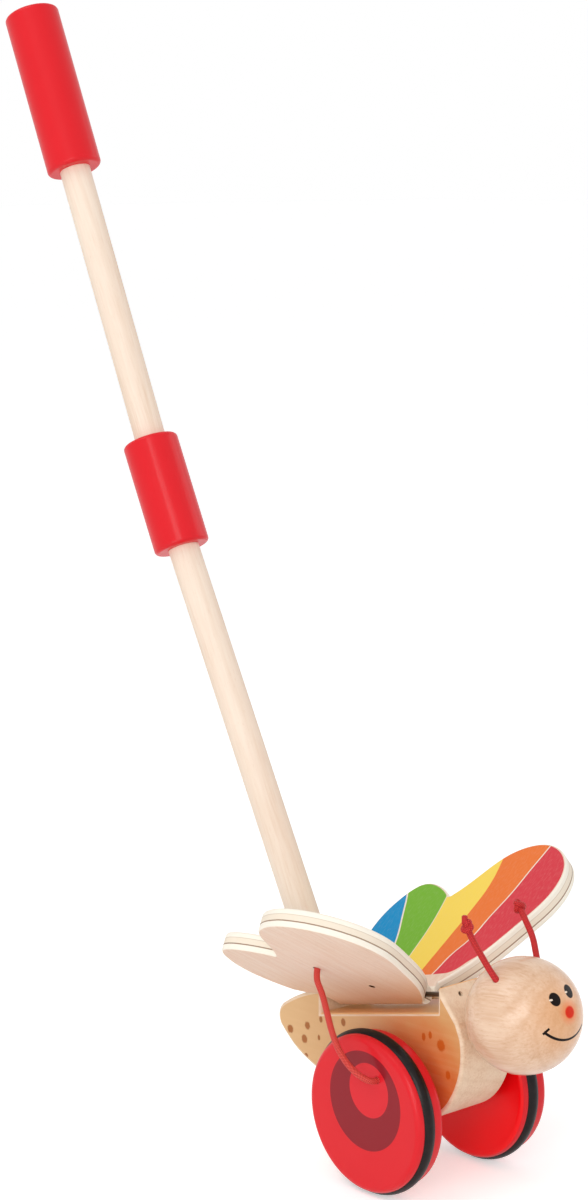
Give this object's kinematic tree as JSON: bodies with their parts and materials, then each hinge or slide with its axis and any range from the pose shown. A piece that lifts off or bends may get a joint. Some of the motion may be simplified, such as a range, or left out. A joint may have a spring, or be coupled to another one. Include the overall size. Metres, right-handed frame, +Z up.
{
  "type": "push toy",
  "caption": "Wooden butterfly push toy: striped plywood wings that beat as the red wheels turn, a ball head with cord antennae, and a beech push pole with a red sleeve and grip",
  "frame": {"origin": "on the floor midway between the wheels, straight below the axle", "axes": "+Z up, -Y forward towards the butterfly's face, +X to the toy's left along the axle"},
  "size_m": [0.1824, 0.4032, 0.5582],
  "materials": {
    "beech": "clear satin varnish, even pale grain",
    "plywood": "sanded birch plywood, top faces printed in five stripes",
    "red_lacquer": "red lacquer, soft gloss",
    "tyre_rubber": "black rubber, satin",
    "steel": "bright steel",
    "red_cord": "stiff braided cord"
  },
  "bodies": {
    "frame": {"body_block": "beech", "head_ball": "beech", "neck_dowel": "beech", "lower_pole": "beech", "upper_pole": "beech", "pole_sleeve": "red_lacquer", "handle_grip": "red_lacquer", "hinge_pin_right": "steel", "hinge_pin_left": "steel", "antenna_cord_right": "red_cord", "antenna_cord_left": "red_cord", "antenna_knot_right": "red_cord", "antenna_knot_left": "red_cord"},
    "wheelset": {"axle": "steel", "wheel_right": "red_lacquer", "wheel_left": "red_lacquer", "tyre_right": "tyre_rubber", "tyre_left": "tyre_rubber", "axle_washer_right": "steel", "axle_washer_left": "steel", "wheel_cord_end_right": "red_cord", "wheel_cord_end_left": "red_cord", "wheel_cord_knot_right": "red_cord", "wheel_cord_knot_left": "red_cord"},
    "wing_right": {"wing_right": "plywood", "wing_cord_right": "red_cord"},
    "wing_left": {"wing_left": "plywood", "wing_cord_left": "red_cord"}
  },
  "joints": [
    {"name": "wheels_roll", "type": "hinge", "parent": "frame", "child": "wheelset", "pos_m": [0, 0, 0.0393], "axis": [1, 0, 0], "continuous": true},
    {"name": "wing_right_beat", "type": "hinge", "parent": "frame", "child": "wing_right", "pos_m": [-0.0055, -0.02121, 0.09472], "axis": [0, 0.9724, -0.2334], "range_deg": [-38, 14], "stiffness_Nm_per_rad": 0.08, "springref_deg": 13.18, "deforming": ["wing_cord_right"]},
    {"name": "wing_left_beat", "type": "hinge", "parent": "frame", "child": "wing_left", "pos_m": [0.0055, -0.02121, 0.09472], "axis": [0, -0.9724, 0.2334], "range_deg": [-38, 14], "stiffness_Nm_per_rad": 0.08, "springref_deg": 13.18, "deforming": ["wing_cord_left"]}
  ]
}
